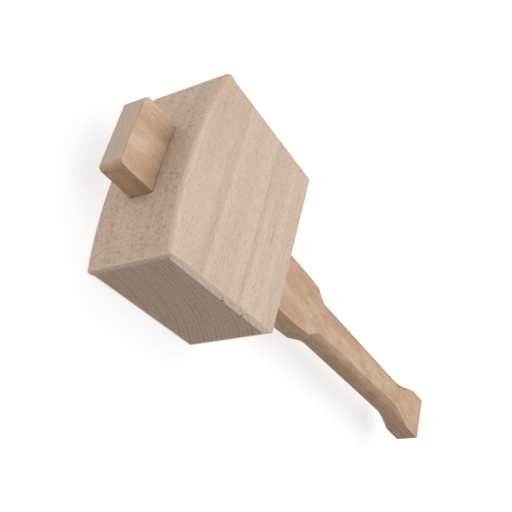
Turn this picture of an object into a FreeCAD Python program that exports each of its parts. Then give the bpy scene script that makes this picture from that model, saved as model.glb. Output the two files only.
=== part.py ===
import FreeCAD, Part
import math
import os

from FreeCAD import Vector

# Joiner's mallet: a solid head on a tapered handle that is dropped in from the top.
# It lies on one cheek. All sizes are in millimetres.
#   +X  up the handle, from the butt to the head's arched top
#   +Y  along the striking axis
#   +Z  the outward normal of the upper cheek
# The origin is the middle of the lower cheek, half way up the head's straight sides.

# Head: its two striking faces lean in towards the grip
head_top_length = 115.0
head_bottom_length = 103.5
head_side_height = 81.0
crown_rise = 6.5
head_thickness = 54.0
crown_edge_radius = 2.6

bottom_edge_ease = 0.6
mouth_ease = 0.5

# The chamfer round each striking face reaches further onto the face than onto the sides and the crown
chamfer_on_face = 3.3
chamfer_on_side = 1.6
chamfer_on_crown = 0.9

# Handle: heights and drops are measured from the head's underside
handle_thickness = 15.0
stub_top_height = 110.0
stub_top_width = 43.0
taper_per_mm = 0.05
stub_corner_radius = 3.0
stub_edge_radius = 1.0
shoulder_drop = 22.0
grip_start_drop = 69.0
grip_start_width = 28.1
grip_end_drop = 158.0
grip_end_width = 23.5
butt_start_drop = 183.0
butt_width = 28.0
butt_drop = 191.5
butt_edge_ease = 0.4

# How far the S-curves of the neck and the flare reach along their end tangents
neck_reach_above = 38.0
neck_reach_below = 12.0
flare_reach_above = 12.0
flare_reach_below = 11.0

# Rounding of the grip's four long edges: a shallow arc that meets the faces in a crease, and runs in and out
rounding_radius = 9.0
rounding_reach = 5.5
round_start_drop = 67.0
round_end_drop = 155.0
run_in_radius = 30.0
run_in_angle = 32.0
run_out_radius = 58.0
run_out_angle = 29.0
cutter_margin = 5.0

# Clearance between the seated handle and its mortise, on each side
taper_clearance = 0.05
cheek_clearance = 0.1

# Cutting solids run past the wood by this much
overrun = 20.0

# Two places closer than this count as the same
same_place = 1e-4

half_face_slope = (head_top_length - head_bottom_length) / head_side_height / 2.0
grip_slope = (grip_start_width - grip_end_width) / (grip_end_drop - grip_start_drop) / 2.0
mid_z = head_thickness / 2.0
handle_low_z = mid_z - handle_thickness / 2.0
head_bottom_x = -head_side_height / 2.0


def above(height):
    """X of a point at this height above the head's underside."""
    return head_bottom_x + height


def below(drop):
    """X of a point at this distance below the head's underside."""
    return head_bottom_x - drop


def face_half_length(height):
    """Y of the striking face at this height above the head's underside."""
    return head_top_length / 2.0 - half_face_slope * (head_side_height - height)


def taper_half_width(height):
    """Half the tapered part's width at this height above the head's underside."""
    return (stub_top_width - taper_per_mm * (stub_top_height - height)) / 2.0


def grip_half_width(drop):
    """Half the grip's width on its straight taper."""
    return grip_end_width / 2.0 + grip_slope * (grip_end_drop - drop)


def line(start, end):
    return Part.LineSegment(start, end).toShape()


def face_of(edges):
    return Part.Face(Part.Wire(Part.sortEdges(edges)[0]))


def polygon_face(points):
    return Part.Face(Part.makePolygon(points + points[:1]))


def on_other_side(shape):
    """The shape's mirror image on the -Y side."""
    return shape.mirror(Vector(0, 0, 0), Vector(0, 1, 0))


def upside_down(shape):
    """The shape's mirror image about the middle of the thickness."""
    return shape.mirror(Vector(0, 0, mid_z), Vector(0, 0, 1))


def crown_radius():
    """Radius of the arched top, through its middle and both of its ends."""
    half = head_top_length / 2.0
    return (half * half + crown_rise * crown_rise) / (2.0 * crown_rise)


def head_side_view():
    """The head's outline in the XY plane, with a chamfer at the ends of its top and underside."""
    radius = crown_radius()
    top_y = head_top_length / 2.0 - chamfer_on_crown
    crown_drop = radius - math.sqrt(radius * radius - top_y * top_y)
    top_end = Vector(above(head_side_height + crown_rise - crown_drop), top_y, 0)
    face_top_height = head_side_height - chamfer_on_face
    face_top = Vector(above(face_top_height), face_half_length(face_top_height), 0)
    face_bottom = Vector(above(chamfer_on_face), face_half_length(chamfer_on_face), 0)
    bottom_end = Vector(above(0), head_bottom_length / 2.0 - chamfer_on_side, 0)
    crown_middle = Vector(above(head_side_height + crown_rise), 0, 0)
    mirrored_top_end = Vector(top_end.x, -top_end.y, 0)
    mirrored_bottom_end = Vector(bottom_end.x, -bottom_end.y, 0)
    right = [line(top_end, face_top), line(face_top, face_bottom), line(face_bottom, bottom_end)]
    left = [on_other_side(edge) for edge in right]
    crown = Part.Arc(top_end, crown_middle, mirrored_top_end).toShape()
    underside = line(bottom_end, mirrored_bottom_end)
    return face_of(right + left + [crown, underside])


def cheek_chamfer_cutter():
    """What the chamfer takes off between the +Y striking face and the lower cheek."""
    lean = Vector(half_face_slope, -1.0, 0).normalize()
    on_face = Vector(above(0), face_half_length(0), 0)
    upright = Vector(1.0, half_face_slope, 0).normalize()
    start = on_face - upright * overrun
    corners = [
        start + Vector(0, 0, chamfer_on_face),
        start + lean * chamfer_on_side,
        start + lean * chamfer_on_side - Vector(0, 0, overrun),
        start - lean * overrun - Vector(0, 0, overrun),
        start - lean * overrun + Vector(0, 0, chamfer_on_face),
    ]
    run = head_side_height + crown_rise + 2.0 * overrun
    return polygon_face(corners).extrude(upright * run)


def mortise_cutter():
    """The tapered hole that the handle's upper part seats in."""
    low = -overrun
    high = head_side_height + crown_rise + overrun
    low_y = taper_half_width(low) + taper_clearance
    high_y = taper_half_width(high) + taper_clearance
    z = handle_low_z - cheek_clearance
    corners = [
        Vector(above(low), -low_y, z),
        Vector(above(low), low_y, z),
        Vector(above(high), high_y, z),
        Vector(above(high), -high_y, z),
    ]
    return polygon_face(corners).extrude(Vector(0, 0, handle_thickness + 2.0 * cheek_clearance))


def edges_at(shape, axis, value):
    """The shape's edges that lie in the plane where this coordinate has this value."""
    found = []
    for edge in shape.Edges:
        box = edge.BoundBox
        low = getattr(box, axis + "Min")
        high = getattr(box, axis + "Max")
        if max(abs(low - value), abs(high - value)) < same_place:
            found.append(edge)
    return found


def crown_edges(shape):
    """The two arcs where the arched top meets the cheeks."""
    return [edge for edge in shape.Edges if isinstance(edge.Curve, Part.Circle)]


def make_head():
    block = head_side_view().extrude(Vector(0, 0, head_thickness))
    block = block.makeFillet(crown_edge_radius, crown_edges(block))
    underside = [edge for edge in edges_at(block, "X", above(0)) if edge.BoundBox.ZLength < same_place]
    block = block.makeFillet(bottom_edge_ease, underside)
    for cutter in (cheek_chamfer_cutter(), upside_down(cheek_chamfer_cutter())):
        block = block.cut(cutter)
        block = block.cut(on_other_side(cutter))
    head = block.cut(mortise_cutter())
    mouth = [edge for edge in edges_at(head, "X", above(0)) if abs(edge.CenterOfMass.y) < stub_top_width / 2.0]
    mouth = [edge for edge in mouth if abs(edge.CenterOfMass.z - mid_z) < handle_thickness]
    return head.makeChamfer(mouth_ease, mouth)


def s_curve(start, start_reach, start_slope, end, end_reach, end_slope):
    """A cubic from start down the handle to end, with these slopes dY/dX at its ends."""
    after_start = Vector(start.x - start_reach, start.y - start_reach * start_slope, 0)
    before_end = Vector(end.x + end_reach, end.y + end_reach * end_slope, 0)
    curve = Part.BezierCurve()
    curve.setPoles([start, after_start, before_end, end])
    return curve.toShape()


def rounded_corner(before, corner, after, radius):
    """The arc that rounds a corner, and the points where it leaves the lines from before and to after."""
    back = (before - corner).normalize()
    onward = (after - corner).normalize()
    half_turn = back.getAngle(onward) / 2.0
    reach = radius / math.tan(half_turn)
    inward = (back + onward).normalize()
    middle = corner + inward * (radius / math.sin(half_turn) - radius)
    first = corner + back * reach
    last = corner + onward * reach
    return first, last, Part.Arc(first, middle, last).toShape()


def half_outline():
    """The handle's outline on the +Y side, from the middle of the stub's end to that of the butt."""
    top_middle = Vector(above(stub_top_height), 0, 0)
    top_corner = Vector(above(stub_top_height), stub_top_width / 2.0, 0)
    shoulder = Vector(below(shoulder_drop), taper_half_width(-shoulder_drop), 0)
    grip_top = Vector(below(grip_start_drop), grip_half_width(grip_start_drop), 0)
    grip_bottom = Vector(below(grip_end_drop), grip_half_width(grip_end_drop), 0)
    butt_top = Vector(below(butt_start_drop), butt_width / 2.0, 0)
    butt_corner = Vector(below(butt_drop), butt_width / 2.0, 0)
    butt_middle = Vector(below(butt_drop), 0, 0)
    arc_start, arc_end, corner_arc = rounded_corner(top_middle, top_corner, shoulder, stub_corner_radius)
    taper_slope = taper_per_mm / 2.0
    return [
        line(top_middle, arc_start),
        corner_arc,
        line(arc_end, shoulder),
        s_curve(shoulder, neck_reach_above, taper_slope, grip_top, neck_reach_below, grip_slope),
        line(grip_top, grip_bottom),
        s_curve(grip_bottom, flare_reach_above, grip_slope, butt_top, flare_reach_below, 0.0),
        line(butt_top, butt_corner),
        line(butt_corner, butt_middle),
    ]


def grip_cutters():
    """What the rounding takes off the grip's +Y, +Z edge: its run-in, its straight part and its run-out."""
    radius = rounding_radius
    to_face = (rounding_reach + math.sqrt(2.0 * radius * radius - rounding_reach * rounding_reach)) / 2.0
    to_crease = to_face - rounding_reach
    far = to_face + cutter_margin
    along = Vector(-1.0, -grip_slope, 0).normalize()
    outward = Vector(-grip_slope, 1.0, 0).normalize()
    up = Vector(0, 0, 1)
    top_z = mid_z + handle_thickness / 2.0
    edge_start = Vector(below(round_start_drop), grip_half_width(round_start_drop), top_z)
    centre = edge_start - outward * to_face - up * to_face

    def at(out, height):
        return centre + outward * out + up * height

    on_arc = radius * math.sqrt(0.5)
    profile = face_of([
        Part.Arc(at(to_face, to_crease), at(on_arc, on_arc), at(to_crease, to_face)).toShape(),
        line(at(to_crease, to_face), at(to_crease, far)),
        line(at(to_crease, far), at(far, far)),
        line(at(far, far), at(far, to_crease)),
        line(at(far, to_crease), at(to_face, to_crease)),
    ])
    run = along * ((round_end_drop - round_start_drop) / abs(along.x))
    diagonal = (outward + up).normalize()
    axis = along.cross(diagonal)
    run_in = profile.revolve(centre + diagonal * run_in_radius, axis, -run_in_angle)
    run_out = profile.translated(run).revolve(centre + run + diagonal * run_out_radius, axis, run_out_angle)
    return [run_in, profile.extrude(run), run_out]


def stub_end_outline():
    """The handle's outline in the XZ plane, square but for the rounded edges of the stub's end."""
    low = Vector(below(butt_drop + overrun), 0, handle_low_z)
    high = Vector(low.x, 0, handle_low_z + handle_thickness)
    low_corner = Vector(above(stub_top_height), 0, low.z)
    high_corner = Vector(above(stub_top_height), 0, high.z)
    low_start, low_end, low_arc = rounded_corner(low, low_corner, high_corner, stub_edge_radius)
    high_start, high_end, high_arc = rounded_corner(low_corner, high_corner, high, stub_edge_radius)
    edges = [line(low, low_start), low_arc, line(low_end, high_start), high_arc, line(high_end, high)]
    return face_of(edges + [line(high, low)])


def make_handle():
    right = half_outline()
    left = [on_other_side(edge) for edge in right]
    outline = face_of(right + left)
    outline.translate(Vector(0, 0, handle_low_z))
    blank = outline.extrude(Vector(0, 0, handle_thickness))
    reach = stub_top_width / 2.0 + overrun
    side_view = stub_end_outline()
    side_view.translate(Vector(0, -reach, 0))
    handle = blank.common(side_view.extrude(Vector(0, 2.0 * reach, 0)))
    for cutter in grip_cutters():
        for copy in (cutter, upside_down(cutter)):
            handle = handle.cut(copy)
            handle = handle.cut(on_other_side(copy))
    handle = handle.removeSplitter()
    return handle.makeChamfer(butt_edge_ease, edges_at(handle, "X", below(butt_drop)))


def save(name, shape):
    solid = shape.Solids[0]
    if len(shape.Solids) != 1 or not solid.isValid():
        raise ValueError(name + " is not one valid solid")
    solid.exportStep(os.path.join("parts", name + ".step"))
    print(name, "volume", round(solid.Volume / 1000.0, 2), "cm3")


os.makedirs("parts", exist_ok=True)
save("head", make_head())
save("handle", make_handle())
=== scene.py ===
import math

import bmesh
import bpy
from mathutils import Matrix, Vector


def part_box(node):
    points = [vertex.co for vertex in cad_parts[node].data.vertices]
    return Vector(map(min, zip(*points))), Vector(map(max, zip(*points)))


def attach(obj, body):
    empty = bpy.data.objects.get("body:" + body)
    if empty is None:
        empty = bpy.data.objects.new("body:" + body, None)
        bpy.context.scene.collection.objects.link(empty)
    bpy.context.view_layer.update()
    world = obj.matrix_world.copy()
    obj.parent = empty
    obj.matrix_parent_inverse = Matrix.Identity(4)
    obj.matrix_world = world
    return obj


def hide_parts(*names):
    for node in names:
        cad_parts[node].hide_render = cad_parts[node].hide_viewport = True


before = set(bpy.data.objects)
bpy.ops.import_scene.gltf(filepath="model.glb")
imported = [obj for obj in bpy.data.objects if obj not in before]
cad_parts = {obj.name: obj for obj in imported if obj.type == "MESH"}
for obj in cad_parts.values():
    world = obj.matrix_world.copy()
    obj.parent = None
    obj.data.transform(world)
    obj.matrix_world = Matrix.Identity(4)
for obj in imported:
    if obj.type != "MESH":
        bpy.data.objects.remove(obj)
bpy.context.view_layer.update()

# The mallet lies on one cheek, with +X up its handle, +Y along the striking axis and +Z up.
# Shapes are worked out in millimetres in that frame and put into the meshes in metres.
MM = 0.001

# Places of the two pieces, from the frame
head_low, head_high = [Vector(corner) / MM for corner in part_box("head")]
handle_low, handle_high = [Vector(corner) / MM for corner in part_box("handle")]
mid_z = (head_low.z + head_high.z) / 2.0
handle_thickness = handle_high.z - handle_low.z
underside_x = head_low.x
crown_x = head_high.x
stub_end_x = handle_high.x
butt_end_x = handle_low.x

# Head, as designed
head_top_length = 115.0
head_bottom_length = 103.5
crown_rise = 6.5
crown_edge_radius = 2.6
chamfer_on_face = 3.3
chamfer_on_side = 1.6
chamfer_on_crown = 0.9
bottom_edge_ease = 0.6
sharp_edge_ease = 0.3
mouth_ease = 0.5
head_side_height = crown_x - underside_x - crown_rise

# Handle, as designed: drops are measured down from the head's underside
stub_top_width = 43.0
taper_per_mm = 0.05
stub_corner_radius = 3.0
stub_edge_radius = 1.0
shoulder_drop = 22.0
grip_start_drop = 69.0
grip_start_width = 28.1
grip_end_drop = 158.0
grip_end_width = 23.5
butt_start_drop = 183.0
butt_width = 28.0
butt_edge_ease = 0.4
arris_ease = 0.35
neck_reach_above = 38.0
neck_reach_below = 12.0
flare_reach_above = 12.0
flare_reach_below = 11.0
rounding_radius = 9.0
rounding_reach = 5.5
round_start_drop = 67.0
round_end_drop = 155.0
run_in_radius = 30.0
run_out_radius = 58.0

# Clearance between the seated handle and its mortise, on each side
taper_clearance = 0.05
cheek_clearance = 0.1

face_slope = (head_top_length - head_bottom_length) / head_side_height / 2.0
grip_slope = (grip_start_width - grip_end_width) / (grip_end_drop - grip_start_drop) / 2.0


# ---------------------------------------------------------------- shape helpers

# An edge counts as fully worn, and takes the full painted highlight, where the surface turns by a radian
# or more within this distance
arris_reach = 1.0


def spread(start, end, steps):
    """Evenly spaced values from start to end, both included."""
    return [start + (end - start) * i / steps for i in range(steps + 1)]


def steps_for(length, spacing):
    """How many steps of about this spacing the length is cut into."""
    return max(1, round(length / spacing))


def face_half_length(x):
    """Y of the striking face at this X."""
    return head_top_length / 2.0 - face_slope * (underside_x + head_side_height - x)


def taper_half_width(x):
    """Half the tapered part's width at this X."""
    return (stub_top_width - taper_per_mm * (stub_end_x - x)) / 2.0


def crown_at(y):
    """X of the arched top at this Y."""
    half = head_top_length / 2.0
    radius = (half * half + crown_rise * crown_rise) / (2.0 * crown_rise)
    return crown_x - radius + math.sqrt(radius * radius - y * y)


def soft_corner(start, corner, end, steps):
    """Points of a rounded corner: a quadratic curve from start to end that bends at the corner."""
    points = []
    for t in spread(0.0, 1.0, steps):
        first = [a + (b - a) * t for a, b in zip(start, corner)]
        second = [a + (b - a) * t for a, b in zip(corner, end)]
        points.append(tuple(a + (b - a) * t for a, b in zip(first, second)))
    return points


def sharpness(vert):
    """How sharply the surface bends at this vertex, from 0 to 1."""
    tightest = 0.0
    for edge in vert.link_edges:
        if len(edge.link_faces) == 2:
            reach = min(face.calc_area() / edge.calc_length() for face in edge.link_faces)
            tightest = max(tightest, edge.calc_face_angle() * MM / reach)
    return min(1.0, tightest * arris_reach)


class Mesher:
    """Collects vertices in millimetres, and the faces between them."""

    def __init__(self):
        self.bm = bmesh.new()

    def ring(self, points):
        """One vertex at each point."""
        return [self.bm.verts.new(Vector(p) * MM) for p in points]

    def face(self, *verts):
        """A face of these vertices, where neighbours may be the same one."""
        unique = []
        for v in verts:
            if v not in unique:
                unique.append(v)
        if len(unique) > 2:
            self.bm.faces.new(unique)

    def bridge(self, lower, upper, skip=()):
        """Joins two rings by a band of faces, except at the steps to skip."""
        for i in range(len(lower)):
            if i not in skip:
                j = (i + 1) % len(lower)
                self.face(lower[i], lower[j], upper[j], upper[i])

    def dent(self, centre, reach, push):
        """Pushes in the vertices round this place, most in its middle."""
        for vert in self.bm.verts:
            share = (vert.co / MM - Vector(centre)).length / reach
            if share < 1.0:
                vert.co += Vector(push) * MM * (1.0 - share * share)

    def finish(self, name):
        """Makes the object, with how sharply it bends kept in its mesh as the attribute arris."""
        bmesh.ops.recalc_face_normals(self.bm, faces=self.bm.faces)
        bends = [sharpness(vert) for vert in self.bm.verts]
        mesh = bpy.data.meshes.new(name)
        self.bm.to_mesh(mesh)
        self.bm.free()
        for polygon in mesh.polygons:
            polygon.use_smooth = True
        mesh.attributes.new("arris", "FLOAT", "POINT").data.foreach_set("value", bends)
        piece = bpy.data.objects.new(name, mesh)
        bpy.context.scene.collection.objects.link(piece)
        return piece


def cap_ring(mesher, ring, counts, place):
    """Closes a ring of four straight sides and four rounded corners with an even grid.

    counts gives the steps of side, corner, side, corner and so on. place(u, v) is the point of the grid
    at these shares of the first and the second side.
    """
    side_u = counts[0]
    side_v = counts[2]
    starts = [0]
    for count in counts:
        starts.append(starts[-1] + count)
    total = starts[-1]

    def ring_at(i):
        return ring[i % total]

    grid = {}
    for i in range(side_u + 1):
        for j in range(side_v + 1):
            grid[i, j] = mesher.bm.verts.new(Vector(place(i / side_u, j / side_v)) * MM)
    for i in range(side_u):
        for j in range(side_v):
            mesher.face(grid[i, j], grid[i + 1, j], grid[i + 1, j + 1], grid[i, j + 1])
    rims = [
        (0, [grid[i, 0] for i in range(side_u + 1)]),
        (2, [grid[side_u, j] for j in range(side_v + 1)]),
        (4, [grid[i, side_v] for i in range(side_u, -1, -1)]),
        (6, [grid[0, j] for j in range(side_v, -1, -1)]),
    ]
    for which, rim in rims:
        for i in range(len(rim) - 1):
            start = starts[which] + i
            mesher.face(ring_at(start), ring_at(start + 1), rim[i + 1], rim[i])
        for i in range(counts[which + 1]):
            start = starts[which + 1] + i
            mesher.face(ring_at(start), ring_at(start + 1), rim[-1])


# ---------------------------------------------------------------- head

# Half the mouth's width across the cheeks, and the steps and spacings of the head's sections
mouth_half_z = handle_thickness / 2.0 + cheek_clearance + mouth_ease
bottom_corner_steps = 4
crown_corner_steps = 7
chamfer_edge_steps = 3
chamfer_steps = 3
head_spacing = 1.3
wall_spacing = 6.0

# Two small nicks in the edge between the +Y striking face and its upper chamfer
nicked_x = (-2.6, -18.3)
nick_reach = 0.9
nick_depth = 0.2


def head_flat_z():
    """Z of the lines across the underside and the top, and which two of them are the mouth's sides."""
    start = head_low.z + crown_edge_radius
    left = spread(start, mid_z - mouth_half_z, steps_for(mid_z - mouth_half_z - start, head_spacing))
    hole = spread(mid_z - mouth_half_z, mid_z + mouth_half_z, steps_for(2.0 * mouth_half_z, head_spacing))
    right = [2.0 * mid_z - z for z in reversed(left)]
    return left[:-1] + hole + right[1:], len(left) - 1, len(left) + len(hole) - 2


flat_z, hole_first, hole_last = head_flat_z()
across_steps = len(flat_z) - 1
cheek_steps = steps_for(head_side_height, head_spacing)


def corner_arc(centre, start_angle, radius, steps):
    """Points of a quarter turn, by angle in the XZ plane, where 0 is +Z and 90 degrees is +X."""
    points = []
    for angle in spread(start_angle, start_angle + math.pi / 2.0, steps):
        points.append((centre[0] + radius * math.sin(angle), centre[1] + radius * math.cos(angle)))
    return points


def head_section(inset, top_x):
    """One section of the head across its length, as (x, z) points, starting along its underside."""
    low_r = max(bottom_edge_ease - inset, sharp_edge_ease)
    high_r = max(crown_edge_radius - inset, sharp_edge_ease)
    low_z = head_low.z + inset
    high_z = head_high.z - inset
    low_x = underside_x + inset
    high_x = top_x - inset

    def across(radius):
        scale = (high_z - low_z - 2.0 * radius) / (flat_z[-1] - flat_z[0])
        return [mid_z + (z - mid_z) * scale for z in flat_z]

    upright = spread(low_x + low_r, high_x - high_r, cheek_steps)
    points = [(low_x, z) for z in across(low_r)][:-1]
    points += corner_arc((low_x + low_r, high_z - low_r), -math.pi / 2.0, low_r, bottom_corner_steps)[:-1]
    points += [(x, high_z) for x in upright][:-1]
    points += corner_arc((high_x - high_r, high_z - high_r), 0.0, high_r, crown_corner_steps)[:-1]
    points += [(high_x, z) for z in reversed(across(high_r))][:-1]
    points += corner_arc((high_x - high_r, low_z + high_r), math.pi / 2.0, high_r, crown_corner_steps)[:-1]
    points += [(x, low_z) for x in reversed(upright)][:-1]
    points += corner_arc((low_x + low_r, low_z + low_r), math.pi, low_r, bottom_corner_steps)[:-1]
    return points


head_counts = [
    across_steps, bottom_corner_steps, cheek_steps, crown_corner_steps,
    across_steps, crown_corner_steps, cheek_steps, bottom_corner_steps,
]


def mouth_half_width(x):
    """Half the width that the mortise's mouth would have at this X."""
    return taper_half_width(x) + taper_clearance + mouth_ease


# A section's height and its place on the arched top depend on each other, and settle in this many rounds
crown_rounds = 5


def nick_at(x):
    """Where the nick at this X is, on the chamfer's edge."""
    return Vector((x, face_half_length(x), head_high.z - chamfer_on_face))


def chamfer_profile():
    """(share of the chamfer's depth, inset) of the sections from the striking face in to its end."""
    on_face = Vector((0.0, chamfer_on_face))
    on_side = Vector((1.0, 0.0))
    face_end = on_face.lerp(on_side, sharp_edge_ease / chamfer_on_face)
    side_end = on_side.lerp(on_face, sharp_edge_ease / chamfer_on_face)
    eased_depth = 1.0 + sharp_edge_ease / chamfer_on_side
    profile = soft_corner((0.0, chamfer_on_face + sharp_edge_ease), on_face, face_end, chamfer_edge_steps)
    profile += [face_end.lerp(side_end, share) for share in spread(0.0, 1.0, chamfer_steps)][1:-1]
    return profile + soft_corner(side_end, on_side, (eased_depth, 0.0), chamfer_edge_steps)


def chamfer_depth(x):
    """How far the chamfer reaches from the striking face at this X, which is less on the crown."""
    change_ends = underside_x + head_side_height - chamfer_on_face
    share = min(max((x - change_ends) / crown_edge_radius + 1.0, 0.0), 1.0)
    return chamfer_on_side + (chamfer_on_crown - chamfer_on_side) * share


def head_stations():
    """Each section's y as a function of x, and its inset, and which one is the first at the mortise."""
    profile = chamfer_profile()
    inner = profile[-1][0]
    outer_run = face_half_length(0.0) - inner * chamfer_depth(0.0) - mouth_half_width(0.0)
    stations = []
    for depth, inset in profile:
        stations.append((lambda x, d=depth: face_half_length(x) - d * chamfer_depth(x), inset))

    def between(x, share):
        start = mouth_half_width(x)
        return start + share * (face_half_length(x) - inner * chamfer_depth(x) - start)

    for share in spread(1.0, 0.0, steps_for(outer_run, head_spacing))[1:]:
        stations.append((lambda x, s=share: between(x, s), 0.0))
    hole_at = len(stations) - 1
    for share in spread(1.0, 0.0, steps_for(mouth_half_width(0.0), head_spacing))[1:]:
        stations.append((lambda x, s=share: s * mouth_half_width(x), 0.0))
    mirrored = [(lambda x, f=y_at: -f(x), inset) for y_at, inset in stations[:-1]]
    return mirrored + list(reversed(stations)), hole_at


def section_points(y_at, inset):
    """The points of one station's section in space."""
    top_x = crown_x
    for _ in range(crown_rounds):
        top_x = crown_at(min(abs(y_at(top_x)), head_top_length / 2.0))
    return [(x, y_at(x), z) for x, z in head_section(inset, top_x)]


# Points of the mouth's rounded edge, as shares of its ease: how deep, and how much wider than the wall
mouth_rounding = [(0.25, 0.35), (1.0, 0.0)]


def add_mortise(mesher, rings, hole_at):
    """The tapered hole's walls, between its mouths in the top and the underside."""
    last = len(rings) - 1 - hole_at
    lines = range(hole_at, last + 1)
    start_of_top = sum(head_counts[:4])
    across = range(hole_first, hole_last + 1)

    def mouth(start, backwards):
        def vert(station, k):
            offset = across_steps - k if backwards else k
            return rings[station][start + offset]

        loop = [vert(s, hole_first) for s in lines]
        loop += [vert(last, k) for k in across][1:]
        loop += [vert(s, hole_last) for s in reversed(lines)][1:]
        loop += [vert(hole_at, k) for k in reversed(across)][1:-1]
        return loop

    top = mouth(start_of_top, True)
    bottom = mouth(0, False)
    eased = [(mouth_ease * sink, mouth_ease * widen) for sink, widen in mouth_rounding]
    inner = spread(0.0, 1.0, steps_for(head_side_height, wall_spacing))
    plan = [(0.0, sink, widen) for sink, widen in eased]
    plan += [(share, 0.0, 0.0) for share in inner[1:-1]]
    plan += [(1.0, -sink, widen) for sink, widen in reversed(eased)]
    loop = top
    for share, sink, widen in plan:
        points = []
        for high, low in zip(top, bottom):
            start = high.co / MM
            x = start.x + (low.co.x / MM - start.x) * share - sink
            y = start.y / mouth_half_width(start.x) * (mouth_half_width(x) - mouth_ease + widen)
            z = mid_z + (start.z - mid_z) / mouth_half_z * (mouth_half_z - mouth_ease + widen)
            points.append((x, y, z))
        following = mesher.ring(points)
        mesher.bridge(loop, following)
        loop = following
    mesher.bridge(loop, bottom)


def make_head():
    """The head block: bridged sections, the mortise through them, two striking faces and the nicks."""
    mesher = Mesher()
    stations, hole_at = head_stations()
    rings = [mesher.ring(section_points(y_at, inset)) for y_at, inset in stations]
    mouth_steps = set(range(hole_first, hole_last))
    mouth_steps |= {step + sum(head_counts[:4]) for step in mouth_steps}
    for k in range(len(rings) - 1):
        inside = hole_at <= k < len(rings) - 1 - hole_at
        mesher.bridge(rings[k], rings[k + 1], mouth_steps if inside else ())
    add_mortise(mesher, rings, hole_at)
    for ring, (y_at, inset) in ((rings[0], stations[0]), (rings[-1], stations[-1])):
        points = section_points(y_at, inset)
        first_on_cheek = across_steps + bottom_corner_steps
        z_lines = [point[2] for point in points[:across_steps + 1]]
        x_lines = [point[0] for point in points[first_on_cheek:first_on_cheek + cheek_steps + 1]]

        def place(u, v, y_at=y_at, z_lines=z_lines, x_lines=x_lines):
            x = x_lines[round(v * cheek_steps)]
            return x, y_at(x), z_lines[round(u * across_steps)]

        cap_ring(mesher, ring, head_counts, place)
    for x in nicked_x:
        mesher.dent(nick_at(x), nick_reach, (0.0, -nick_depth, -nick_depth))
    return mesher.finish("head_block")


# ---------------------------------------------------------------- handle

# Steps round a section, spacings of the sections along the handle, and how often s_curve halves
wide_steps = 24
narrow_steps = 10
crease_steps = 3
round_steps = 8
halvings = 30
coarse_spacing = 2.0
butt_spacing = 1.5
fine_spacing = 1.0
butt_edge_steps = 3
handle_corner_steps = 2 * crease_steps + round_steps
stub_end_steps = 12
handle_counts = [wide_steps, handle_corner_steps, narrow_steps, handle_corner_steps] * 2


def drop_of(x):
    """How far below the head's underside this X is."""
    return underside_x - x


def grip_line(drop):
    """Half the grip's width on its straight taper."""
    return grip_end_width / 2.0 + grip_slope * (grip_end_drop - drop)


def cubic(values, t):
    """The value at share t of a cubic with these four control values."""
    a, b, c, d = values
    s = 1.0 - t
    return s * s * s * a + 3.0 * s * s * t * b + 3.0 * s * t * t * c + t * t * t * d


def s_curve(drops, widths, drop):
    """Half width at this drop on a cubic through the given control points, found by halving."""
    low = 0.0
    high = 1.0
    for _ in range(halvings):
        t = (low + high) / 2.0
        if cubic(drops, t) < drop:
            low = t
        else:
            high = t
    return cubic(widths, low)


shoulder_half = taper_half_width(underside_x - shoulder_drop)
neck_drops = (
    shoulder_drop,
    shoulder_drop + neck_reach_above,
    grip_start_drop - neck_reach_below,
    grip_start_drop,
)
neck_widths = (
    shoulder_half,
    shoulder_half - neck_reach_above * taper_per_mm / 2.0,
    grip_line(grip_start_drop) + neck_reach_below * grip_slope,
    grip_line(grip_start_drop),
)
flare_drops = (
    grip_end_drop,
    grip_end_drop + flare_reach_above,
    butt_start_drop - flare_reach_below,
    butt_start_drop,
)
flare_widths = (
    grip_line(grip_end_drop),
    grip_line(grip_end_drop) - flare_reach_above * grip_slope,
    butt_width / 2.0,
    butt_width / 2.0,
)


# How far the rounding's centre lies in from both faces, the shortest arc that is drawn as a rounding, and
# the most of an arc that a crease may take up
rounding_to_face = (rounding_reach + math.sqrt(2.0 * rounding_radius ** 2 - rounding_reach ** 2)) / 2.0
smallest_rounding = 1.5 * arris_ease
largest_crease_share = 1.0 / 3.0


def edge_loss(depth, radius):
    """What a rounded edge takes off a side, this far in from the end."""
    if depth >= radius:
        return 0.0
    return radius - math.sqrt(radius * radius - (radius - depth) ** 2)


def handle_half_thickness(x):
    """Half the handle's thickness at this X."""
    half = handle_thickness / 2.0
    return half - edge_loss(stub_end_x - x, stub_edge_radius) - edge_loss(x - butt_end_x, butt_edge_ease)


def handle_half_width(x):
    """Half the handle's width at this X, on its wide faces."""
    drop = drop_of(x)
    if drop < shoulder_drop:
        return taper_half_width(x) - edge_loss(stub_end_x - x, stub_corner_radius)
    if drop < grip_start_drop:
        return s_curve(neck_drops, neck_widths, drop)
    if drop < grip_end_drop:
        return grip_line(drop)
    if drop < butt_start_drop:
        return s_curve(flare_drops, flare_widths, drop)
    return butt_width / 2.0 - edge_loss(x - butt_end_x, butt_edge_ease)


def cutter_offset(drop):
    """How far the rounding has moved out of the wood, along each of Y and Z."""
    run = max(round_start_drop - drop, drop - round_end_drop, 0.0)
    path_radius = (run_in_radius if drop < round_start_drop else run_out_radius) - rounding_radius
    return edge_loss(path_radius - min(run, path_radius), path_radius) / math.sqrt(2.0)


def arc_point(centre, radius, angle):
    """The point of a circle at this angle from its first axis."""
    return centre[0] + radius * math.cos(angle), centre[1] + radius * math.sin(angle)


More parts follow.
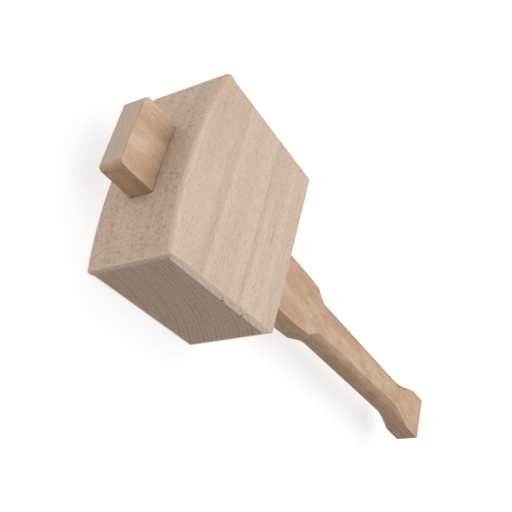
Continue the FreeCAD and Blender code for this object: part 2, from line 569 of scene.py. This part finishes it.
def handle_corner(x, half_y, half_z):
    """The +Y, +Z corner of a section, as (y, z) points from the wide face to the narrow face.

    It is the grip's rounding, with soft creases where it meets the faces, or else a barely eased edge.
    """
    radius = rounding_radius
    inwards = cutter_offset(drop_of(x)) - rounding_to_face
    centre = (grip_line(drop_of(x)) + inwards, handle_thickness / 2.0 + inwards)
    start = math.asin(min(half_z - centre[1], radius) / radius)
    end = math.acos(min(half_y - centre[0], radius) / radius)
    length = (start - end) * radius
    if length < smallest_rounding:
        centre = (half_y - arris_ease, half_z - arris_ease)
        angles = spread(math.pi / 2.0, 0.0, handle_corner_steps)
        return [arc_point(centre, arris_ease, angle) for angle in angles]
    ease = min(arris_ease, length * largest_crease_share)
    turn = ease / radius
    first = arc_point(centre, radius, start)
    last = arc_point(centre, radius, end)
    middle = [arc_point(centre, radius, angle) for angle in spread(start - turn, end + turn, round_steps)]
    points = soft_corner((first[0] - ease, half_z), first, middle[0], crease_steps)
    points += middle[1:-1]
    return points + soft_corner(middle[-1], last, (half_y, last[1] - ease), crease_steps)


def handle_section(x):
    """A closed section of the handle at this X, as (y, z) points about its middle."""
    half_y = handle_half_width(x)
    half_z = handle_half_thickness(x)
    corner = handle_corner(x, half_y, half_z)
    wide = spread(-corner[0][0], corner[0][0], wide_steps)
    narrow = spread(corner[-1][1], -corner[-1][1], narrow_steps)
    points = [(y, half_z) for y in wide][:-1]
    points += corner[:-1]
    points += [(half_y, z) for z in narrow][:-1]
    points += [(y, -z) for y, z in reversed(corner)][:-1]
    points += [(-y, -half_z) for y in wide][:-1]
    points += [(-y, -z) for y, z in corner][:-1]
    points += [(-half_y, -z) for z in narrow][:-1]
    points += [(-y, z) for y, z in reversed(corner)][:-1]
    return points


def handle_stations():
    """X of each section, from the stub's end to the butt's."""
    shares = spread(0.0, 1.0, stub_end_steps)
    stations = [stub_end_x - stub_corner_radius * share * share for share in shares]
    runs = [
        (stub_end_x - stub_corner_radius, underside_x - shoulder_drop, coarse_spacing),
        (underside_x - shoulder_drop, underside_x - grip_start_drop, fine_spacing),
        (underside_x - grip_start_drop, underside_x - grip_end_drop, coarse_spacing),
        (underside_x - grip_end_drop, underside_x - butt_start_drop, fine_spacing),
        (underside_x - butt_start_drop, butt_end_x + butt_edge_ease, butt_spacing),
        (butt_end_x + butt_edge_ease, butt_end_x, butt_edge_ease / butt_edge_steps),
    ]
    for start, end, spacing in runs:
        stations += spread(start, end, steps_for(start - end, spacing))[1:]
    return stations


def make_handle():
    """The handle from its stub's end to its butt, as bridged sections with a cap at each end."""
    mesher = Mesher()
    stations = handle_stations()
    rings = []
    for x in stations:
        rings.append(mesher.ring([(x, y, mid_z + z) for y, z in handle_section(x)]))
    for lower, upper in zip(rings, rings[1:]):
        mesher.bridge(lower, upper)
    for ring, x in ((rings[0], stations[0]), (rings[-1], stations[-1])):
        section = handle_section(x)
        wide = [y for y, z in section[:wide_steps + 1]]
        first_narrow = wide_steps + handle_corner_steps
        narrow = [z for y, z in section[first_narrow:first_narrow + narrow_steps + 1]]

        def place(u, v, x=x, wide=wide, narrow=narrow):
            return x, wide[round(u * wide_steps)], mid_z + narrow[round(v * narrow_steps)]

        cap_ring(mesher, ring, handle_counts, place)
    return mesher.finish("handle_shaft")


# ---------------------------------------------------------------- wood

# Colours are linear (r, g, b), and a tint is what a colour is multiplied by. A cell is the size of a grain
# feature in millimetres: round the rings, along the fibres and outwards from the pith. Noise is mostly
# between 0.3 and 0.7, so the limits of a ramp say how much of the wood a feature covers.
pith_distance = 125.0
drift_cell = (40.0, 40.0, 40.0)
shade_cell = (16.0, 150.0, 4.0)
blush_cell = (9.0, 70.0, 9.0)
bump_height = 0.03
specular_level = 0.35
least_rough = 0.5
most_rough = 0.66

# Worn edges are paler, in patches: partly real wear and partly a painted highlight on the rounded edges
worn_and_highlit_edge_colour = (0.66, 0.51, 0.39)
wear_and_highlight_cell = (3.0, 6.0, 3.0)
head_wear_and_highlight = 0.35
handle_wear_and_highlight = 0.12

# Growth rings: how much their width and their outline vary, and how narrow their dark late wood is
ring_unevenness = 1.2
uneven_ring_count = 2.5
ring_ripple = 0.8
ripple_cell = (6.0, 300.0, 5.0)
late_wood_power = 3.0

# The reach of a ray fleck in its cell, and the share of a fleck's or a spot's reach at its full strength
ray_size = 0.38
full_share = 0.4

# How strong the faintest ray fleck and the faintest growth ring are, next to the strongest
weakest = 0.3

# How squarely a surface has to cross the grain to be end grain, or a chamfer next to it
end_facing = (0.973, 0.991)
bevel_facing = (0.5, 0.8)


class Shader:
    """One node material, with short calls that add its nodes and join them."""

    def __init__(self, name):
        self.material = bpy.data.materials.new(name)
        self.material.use_nodes = True
        self.tree = self.material.node_tree
        self.surface = self.tree.nodes["Principled BSDF"]

    def put(self, socket, value):
        """Gives an input socket a value, or links another node's output to it."""
        if isinstance(value, bpy.types.NodeSocket):
            self.tree.links.new(value, socket)
        else:
            socket.default_value = value

    def node(self, kind, *values, **settings):
        """A new node of this kind, with its settings, and values for its first inputs."""
        node = self.tree.nodes.new("ShaderNode" + kind)
        for setting, value in settings.items():
            setattr(node, setting, value)
        for socket, value in zip(node.inputs, values):
            self.put(socket, value)
        return node

    def math(self, operation, *values):
        return self.node("Math", *values, operation=operation).outputs[0]

    def product(self, *values):
        """All these values, multiplied."""
        total = values[0]
        for value in values[1:]:
            total = self.math("MULTIPLY", total, value)
        return total

    def vector(self, operation, *values):
        return self.node("VectorMath", *values, operation=operation).outputs[0]

    def length(self, vector):
        return self.node("VectorMath", vector, operation="LENGTH").outputs["Value"]

    def about(self, value, reach):
        """A value from 0 to 1, made to run from -reach / 2 to reach / 2."""
        return self.math("MULTIPLY_ADD", value, reach, -reach / 2.0)

    def varied(self, value, least):
        """A value from 0 to 1, made to run from least to 1."""
        return self.math("MULTIPLY_ADD", value, 1.0 - least, least)

    def split(self, vector):
        return list(self.node("SeparateXYZ", vector).outputs)

    def join(self, x, y, z):
        return self.node("CombineXYZ", x, y, z).outputs[0]

    def ramp(self, value, low, high, to_low=0.0, to_high=1.0):
        """A smooth step from to_low to to_high, as value goes from low to high."""
        values = (value, low, high, to_low, to_high)
        return self.node("MapRange", *values, interpolation_type="SMOOTHSTEP").outputs[0]

    def noise(self, space, cell, detail=2.0):
        """Soft noise about 0.5, whose blobs are about as large as cell."""
        node = self.node("TexNoise")
        self.put(node.inputs["Vector"], self.vector("DIVIDE", space, cell))
        self.put(node.inputs["Scale"], 1.0)
        self.put(node.inputs["Detail"], detail)
        return node.outputs[0]

    def marks(self, space, cell, size):
        """Scattered lens-shaped marks, one to a cell at most: up to 1 in a mark, and 0 outside."""
        node = self.node("TexVoronoi")
        self.put(node.inputs["Vector"], self.vector("DIVIDE", space, cell))
        self.put(node.inputs["Scale"], 1.0)
        strength = self.varied(self.split(node.outputs["Color"])[0], weakest)
        return self.product(self.ramp(node.outputs["Distance"], size, size * full_share), strength)

    def blend(self, amount, first, second, kind="MIX"):
        """The first colour where amount is 0, and the second where it is 1."""
        node = self.node("Mix", data_type="RGBA", blend_type=kind)
        colours = [socket for socket in node.inputs if socket.type == "RGBA"]
        self.put(node.inputs["Factor"], amount)
        self.put(colours[0], first)
        self.put(colours[1], second)
        return [socket for socket in node.outputs if socket.type == "RGBA"][0]

    def tint(self, amount, colour, factor):
        """colour, multiplied by the (r, g, b) factor where amount is 1."""
        return self.blend(amount, colour, (*factor, 1.0), "MULTIPLY")


class Beech(Shader):
    """Solid beech, whose growth rings lie round a pith outside the piece.

    along is the axis of its grain, 0 for X and 1 for Y. pith is where the pith is across that axis, as its
    place on the other of the two and its Z. wander is how far the rings drift from true circles.
    place is a point of the piece and grain the same point round, along and out from the pith. flat is 1
    on a surface that faces the pith and 0 on one that is cut straight towards it.
    """

    def __init__(self, name, along, pith, wander):
        super().__init__(name)
        coordinates = self.node("TexCoord")
        self.place = self.vector("MULTIPLY", coordinates.outputs["Object"], (1.0 / MM, 1.0 / MM, 1.0 / MM))
        parts = self.split(self.place)
        across = self.math("SUBTRACT", parts[1 - along], pith[0])
        rise = self.math("SUBTRACT", parts[2], pith[1])
        distance = self.length(self.join(across, rise, 0.0))
        drift = self.about(self.noise(self.place, drift_cell, 1.0), wander)
        self.radius = self.math("ADD", distance, drift)
        turned = self.math("ARCTAN2", across, rise)
        self.grain = self.join(self.product(turned, pith_distance), parts[along], self.radius)
        normal = self.split(coordinates.outputs["Normal"])
        outward = self.math("ADD", self.product(normal[1 - along], across), self.product(normal[2], rise))
        facing = self.math("ABSOLUTE", normal[along])
        self.end = self.ramp(facing, *end_facing)
        self.bevel = self.ramp(facing, *bevel_facing)
        self.upright = self.math("ABSOLUTE", normal[2])
        self.flat = self.math("ABSOLUTE", self.math("DIVIDE", outward, distance))

    def spot(self, centre, reach):
        """1 in the middle of a small area of the surface, fading to 0 at its reach along each axis."""
        offset = self.vector("SUBTRACT", self.place, centre)
        return self.ramp(self.length(self.vector("DIVIDE", offset, reach)), 1.0, full_share)

    def rings(self, start, width):
        """How far into a ring's dark late wood a point is, from 0 to 1, for rings about this wide."""
        uneven = self.noise(self.join(0.0, 0.0, self.radius), (1.0, 1.0, uneven_ring_count * width), 0.0)
        ripple = self.noise(self.grain, ripple_cell)
        turn = self.math("DIVIDE", self.math("SUBTRACT", self.radius, start), width)
        turn = self.math("ADD", turn, self.about(uneven, ring_unevenness))
        turn = self.math("ADD", turn, self.about(ripple, ring_ripple))
        late = self.math("POWER", self.math("FRACT", turn), late_wood_power)
        strength = self.node("TexWhiteNoise", noise_dimensions="1D")
        self.put(strength.inputs["W"], self.math("FLOOR", turn))
        return self.product(late, self.varied(strength.outputs["Value"], weakest))

    def band(self, start, full, gone):
        """1 at the distance full from the pith, falling smoothly to 0 on each side."""
        return self.product(self.ramp(self.radius, start, full), self.ramp(self.radius, gone, full))

    def colour_side(self, colour, shade_tint, blush_tint):
        """The colour of wood cut along its grain, with broad darker and redder patches."""
        shade = self.ramp(self.noise(self.grain, shade_cell), 0.35, 0.7)
        blush = self.ramp(self.noise(self.grain, blush_cell), 0.45, 0.75)
        return self.tint(blush, self.tint(shade, (*colour, 1.0), shade_tint), blush_tint)

    def finish(self, colour, height, wear_and_highlight_strength):
        """Joins the colour and the height of the fibres to the surface, with worn edges that are partly a
        painted highlight.
        """
        bend = self.node("Attribute", attribute_name="arris").outputs["Fac"]
        patchy = self.noise(self.grain, wear_and_highlight_cell)
        # Paler sharp and rounded edges: partly wear, partly a painted highlight
        wear_and_highlight = self.product(self.ramp(patchy, 0.3, 0.6), bend, wear_and_highlight_strength)
        inputs = self.surface.inputs
        self.put(inputs["Base Color"], self.blend(wear_and_highlight, colour, (*worn_and_highlit_edge_colour, 1.0)))
        self.put(inputs["Roughness"], self.ramp(patchy, 0.2, 0.8, least_rough, most_rough))
        self.put(inputs["Specular IOR Level"], specular_level)
        bump = self.node("Bump")
        self.put(bump.inputs["Strength"], 1.0)
        self.put(bump.inputs["Distance"], bump_height * MM)
        self.put(bump.inputs["Height"], height)
        self.put(inputs["Normal"], bump.outputs["Normal"])
        return self.material


# The head's wood: its pith is at this X and Z, and rings and bands are placed by distance from the pith
head_pith = (39.5, -88.0)
head_wander = 0.3
head_ring_start = 143.7
head_ring_width = 2.45
dark_band = (142.4, 143.6, 143.75)
red_band = (149.8, 150.2, 151.4)
broad_band = (138.0, 141.0, 142.6)
head_colour = (0.575, 0.465, 0.385)
head_shade_tint = (0.93, 0.90, 0.88)
head_blush_tint = (1.0, 0.95, 0.955)
dark_band_tint = (0.92, 0.87, 0.80)
red_band_tint = (0.93, 0.84, 0.82)
broad_band_tint = (1.0, 0.93, 0.89)
head_ring_tint = (0.95, 0.91, 0.88)
head_quartered_tint = (0.965, 0.92, 0.86)
head_ray_cell = (0.75, 3.6, 4.5)
head_ray_tint = (0.82, 0.75, 0.70)
head_fibre_cell = (0.45, 9.0, 0.45)
head_fibre_tint = (0.91, 0.88, 0.86)
streak_cell = (0.9, 1.6, 2.2)
streak_tint = (0.93, 0.90, 0.88)
quartered_streak_tint = (0.93, 0.925, 0.91)

# The chamfers round the striking faces, whose pale colour is a painted highlight, and the end grain of the
# striking faces themselves
# The chamfers' colour is paler than the side grain: a painted highlight
highlit_chamfer_colour = (0.80, 0.65, 0.53, 1.0)
chamfer_ring_tint = (0.74, 0.68, 0.64)
head_pore_cell = (1.0, 4.0, 1.0)
chamfer_pore_tint = (0.84, 0.81, 0.79)
face_colour = (0.455, 0.32, 0.225, 1.0)
face_ring_tint = (0.60, 0.56, 0.54)
face_pore_tint = (0.84, 0.82, 0.80)
spoke_cell = (0.8, 5.0, 12.0)
spoke_tint = (0.95, 0.94, 0.93)

# Marks: the arched top is darkened in patches round the stub with painted shade, the upper cheek has a
# dark pore line, and painted shade darkens the nicks
stub_shade_cell = (4.0, 5.0, 4.0)
stub_shade_reach = (12.0, stub_top_width, 1.2 * handle_thickness)
stub_shade_tint = (0.91, 0.86, 0.81)
pore_line = (-22.1, 1.5, head_high.z)
pore_line_reach = (0.35, 12.0, 1.0)
pore_line_tint = (0.72, 0.62, 0.55)
# Painted shade in the nicks
nick_shade_reach = 1.3 * nick_reach
nick_shade_tint = (0.40, 0.35, 0.31)

# The handle's wood: its pith is at this Y and Z
handle_pith = (18.0, -70.0)
handle_wander = 2.5
handle_ring_start = 90.0
handle_ring_width = 3.0
handle_colour = (0.555, 0.405, 0.292)
handle_shade_tint = (0.90, 0.85, 0.81)
handle_blush_tint = (1.0, 0.93, 0.91)
patch_cell = (16.0, 9.0, 9.0)
patch_tint = (0.90, 0.86, 0.83)
handle_ring_tint = (0.93, 0.87, 0.83)
# Faces cut towards the pith: partly the radial grain's own darker colour, partly painted shade on the
# narrow faces
handle_quartered_and_shade_tint = (0.93, 0.87, 0.80)
handle_ray_cell = (0.8, 4.0, 5.0)
handle_ray_tint = (0.78, 0.70, 0.62)
handle_fibre_cell = (0.6, 8.0, 0.6)
handle_fibre_tint = (0.93, 0.90, 0.87)
line_cell = (0.5, 14.0, 0.5)
line_tint = (0.84, 0.78, 0.72)
# Painted shade on the narrow faces and roundings below the shoulder
painted_side_shade_tint = (0.84, 0.80, 0.76)
end_colour = (0.48, 0.36, 0.28, 1.0)
end_ring_tint = (0.88, 0.84, 0.80)
end_pore_cell = (0.5, 4.0, 0.5)
end_pore_tint = (0.95, 0.94, 0.93)


def head_side(wood, late, rays, fibres):
    """The colour of the head where it is cut along its grain."""
    streaks = wood.noise(wood.grain, streak_cell)
    quartered = wood.ramp(wood.flat, 0.4, 0.08)
    side = wood.colour_side(head_colour, head_shade_tint, head_blush_tint)
    side = wood.tint(wood.band(*dark_band), side, dark_band_tint)
    side = wood.tint(wood.band(*red_band), side, red_band_tint)
    side = wood.tint(wood.band(*broad_band), side, broad_band_tint)
    side = wood.tint(late, side, head_ring_tint)
    side = wood.tint(quartered, side, head_quartered_tint)
    side = wood.tint(rays, side, head_ray_tint)
    side = wood.tint(wood.ramp(fibres, 0.45, 0.7), side, head_fibre_tint)
    side = wood.tint(wood.ramp(streaks, 0.45, 0.7), side, streak_tint)
    side = wood.tint(wood.product(quartered, wood.ramp(streaks, 0.35, 0.65)), side, quartered_streak_tint)
    # Painted shade, in patches, on the arched top round the stub
    painted_stub_shade = wood.ramp(wood.noise(wood.place, stub_shade_cell, 3.0), 0.45, 0.65)
    painted_stub_shade = wood.product(quartered, wood.spot((crown_x, 0.0, mid_z), stub_shade_reach), painted_stub_shade)
    side = wood.tint(painted_stub_shade, side, stub_shade_tint)
    return wood.tint(wood.spot(pore_line, pore_line_reach), side, pore_line_tint)


def head_cuts(wood, late):
    """The colours of the head's chamfers, painted pale as a highlight, and of its striking faces, which
    cross the grain.
    """
    pores = wood.ramp(wood.noise(wood.grain, head_pore_cell, 3.0), 0.4, 0.65)
    spokes = wood.ramp(wood.noise(wood.grain, spoke_cell, 1.0), 0.5, 0.7)
    # The chamfers' pale colour is a painted highlight
    chamfer = wood.tint(late, highlit_chamfer_colour, chamfer_ring_tint)
    chamfer = wood.tint(pores, chamfer, chamfer_pore_tint)
    face = wood.tint(late, face_colour, face_ring_tint)
    face = wood.tint(pores, face, face_pore_tint)
    return chamfer, wood.tint(spokes, face, spoke_tint)


def head_wood():
    """Pale beech with its grain along Y: three darker bands, flecked cheeks and dark striking faces."""
    wood = Beech("beech_head", 1, head_pith, head_wander)
    late = wood.rings(head_ring_start, head_ring_width)
    rays = wood.marks(wood.grain, head_ray_cell, ray_size)
    fibres = wood.noise(wood.grain, head_fibre_cell, 3.0)
    chamfer, face = head_cuts(wood, late)
    colour = wood.blend(wood.bevel, head_side(wood, late, rays, fibres), chamfer)
    colour = wood.blend(wood.end, colour, face)
    # Painted shade darkens the nicks
    for x in nicked_x:
        nick_shade = wood.spot(nick_at(x), (nick_shade_reach, nick_shade_reach, nick_shade_reach))
        colour = wood.tint(nick_shade, colour, nick_shade_tint)
    return wood.finish(colour, wood.math("SUBTRACT", fibres, rays), head_wear_and_highlight)


def handle_side(wood, late, rays, fibres):
    """The colour of the handle where it is cut along its grain."""
    patches = wood.ramp(wood.noise(wood.place, patch_cell, 3.0), 0.42, 0.62)
    lines = wood.ramp(wood.noise(wood.grain, line_cell, 1.0), 0.6, 0.72)
    side = wood.colour_side(handle_colour, handle_shade_tint, handle_blush_tint)
    side = wood.tint(patches, side, patch_tint)
    side = wood.tint(late, side, handle_ring_tint)
    # Darker where cut towards the pith: partly radial grain colour, partly painted shade on the narrow
    # faces and roundings
    side = wood.tint(wood.ramp(wood.flat, 0.9, 0.2), side, handle_quartered_and_shade_tint)
    side = wood.tint(rays, side, handle_ray_tint)
    side = wood.tint(wood.ramp(fibres, 0.42, 0.68), side, handle_fibre_tint)
    side = wood.tint(lines, side, line_tint)
    # Painted shade: the narrow faces and roundings darken below the shoulder
    x = wood.split(wood.place)[0]
    below_shoulder = wood.ramp(x, underside_x - shoulder_drop, underside_x - grip_start_drop)
    painted_side_shade = wood.product(wood.ramp(wood.upright, 0.97, 0.93), below_shoulder)
    return wood.tint(painted_side_shade, side, painted_side_shade_tint)


def handle_wood():
    """Redder beech with its grain along X, with painted shade darkening its narrow faces and roundings
    below the head.
    """
    wood = Beech("beech_handle", 0, handle_pith, handle_wander)
    late = wood.rings(handle_ring_start, handle_ring_width)
    rays = wood.marks(wood.grain, handle_ray_cell, ray_size)
    fibres = wood.noise(wood.grain, handle_fibre_cell, 3.0)
    pores = wood.ramp(wood.noise(wood.grain, end_pore_cell, 3.0), 0.45, 0.7)
    cut = wood.tint(late, end_colour, end_ring_tint)
    cut = wood.tint(pores, cut, end_pore_tint)
    colour = wood.blend(wood.end, handle_side(wood, late, rays, fibres), cut)
    return wood.finish(colour, wood.math("SUBTRACT", fibres, rays), handle_wear_and_highlight)


head = make_head()
head.data.materials.append(head_wood())
handle = make_handle()
handle.data.materials.append(handle_wood())
for piece, node in ((head, "head"), (handle, "handle")):
    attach(piece, node)
    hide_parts(node)


# ---------------------------------------------------------------- stage, light and camera

# From here on places and sizes are in metres, and the camera's lens and sensor in millimetres
white = (1.0, 1.0, 1.0, 1.0)
floor_reach = 4.0
floor_colour = (0.22, 0.22, 0.22, 1.0)
floor_roughness = 0.9
floor_glow = 0.78

# The camera looks down from beyond the head's arched top, and the handle runs away from it to the right
camera_place = (0.26985, 0.27263, 0.31742)
camera_right = (-0.55324, -0.21798, 0.804)
camera_forward = (-0.61434, -0.54507, -0.57051)
camera_lens = 64.94
camera_sensor = 36.0

# A broad lamp nearly overhead, and a smaller one low down, beyond the head's arched top
key_place = (-0.15, -0.12, 1.2)
key_target = (-0.05, 0.0, 0.0)
key_size = 1.7
key_power = 23.5
side_place = (1.3, -0.1, 0.28)
side_target = (0.0, 0.0, 0.03)
side_size = 0.7
side_power = 6.5


def make_floor():
    """A large grey floor that glows, so that it comes out white with soft shadows."""
    mesh = bpy.data.meshes.new("floor")
    corners = [(x * floor_reach, y * floor_reach, 0.0) for x, y in ((-1, -1), (1, -1), (1, 1), (-1, 1))]
    mesh.from_pydata(corners, [], [(0, 1, 2, 3)])
    floor = bpy.data.objects.new("floor", mesh)
    bpy.context.scene.collection.objects.link(floor)
    material = bpy.data.materials.new("floor_white")
    material.use_nodes = True
    shader = material.node_tree.nodes["Principled BSDF"]
    shader.inputs["Base Color"].default_value = floor_colour
    shader.inputs["Roughness"].default_value = floor_roughness
    shader.inputs["Emission Color"].default_value = white
    shader.inputs["Emission Strength"].default_value = floor_glow
    mesh.materials.append(material)


def area_light(name, location, target, size, power):
    """A round lamp that shines from its location towards its target."""
    light = bpy.data.lights.new(name, "AREA")
    light.shape = "DISK"
    light.size = size
    light.energy = power
    lamp = bpy.data.objects.new(name, light)
    lamp.location = location
    lamp.rotation_euler = (Vector(target) - Vector(location)).to_track_quat("-Z", "Y").to_euler()
    bpy.context.scene.collection.objects.link(lamp)


def make_camera():
    """The camera, which keeps its forward direction exactly and squares its right one to it."""
    camera_data = bpy.data.cameras.new("camera")
    camera_data.sensor_width = camera_sensor
    camera_data.lens = camera_lens
    camera = bpy.data.objects.new("camera", camera_data)
    right = Vector(camera_right).normalized()
    forward = Vector(camera_forward).normalized()
    right = (right - forward * right.dot(forward)).normalized()
    up = right.cross(forward)
    rotation = Matrix((right, up, -forward)).transposed()
    camera.matrix_world = Matrix.Translation(Vector(camera_place)) @ rotation.to_4x4()
    bpy.context.scene.collection.objects.link(camera)
    bpy.context.scene.camera = camera


def make_world():
    """A white backdrop that is only seen, and neither lights the mallet nor shines in it."""
    world = bpy.data.worlds.new("studio")
    bpy.context.scene.world = world
    world.use_nodes = True
    world.node_tree.nodes["Background"].inputs["Color"].default_value = white
    world.node_tree.nodes["Background"].inputs["Strength"].default_value = 1.0
    world.cycles_visibility.diffuse = False
    world.cycles_visibility.glossy = False


make_floor()
make_camera()
area_light("key", key_place, key_target, key_size, key_power)
area_light("side", side_place, side_target, side_size, side_power)
make_world()
bpy.context.scene.view_settings.view_transform = "Standard"
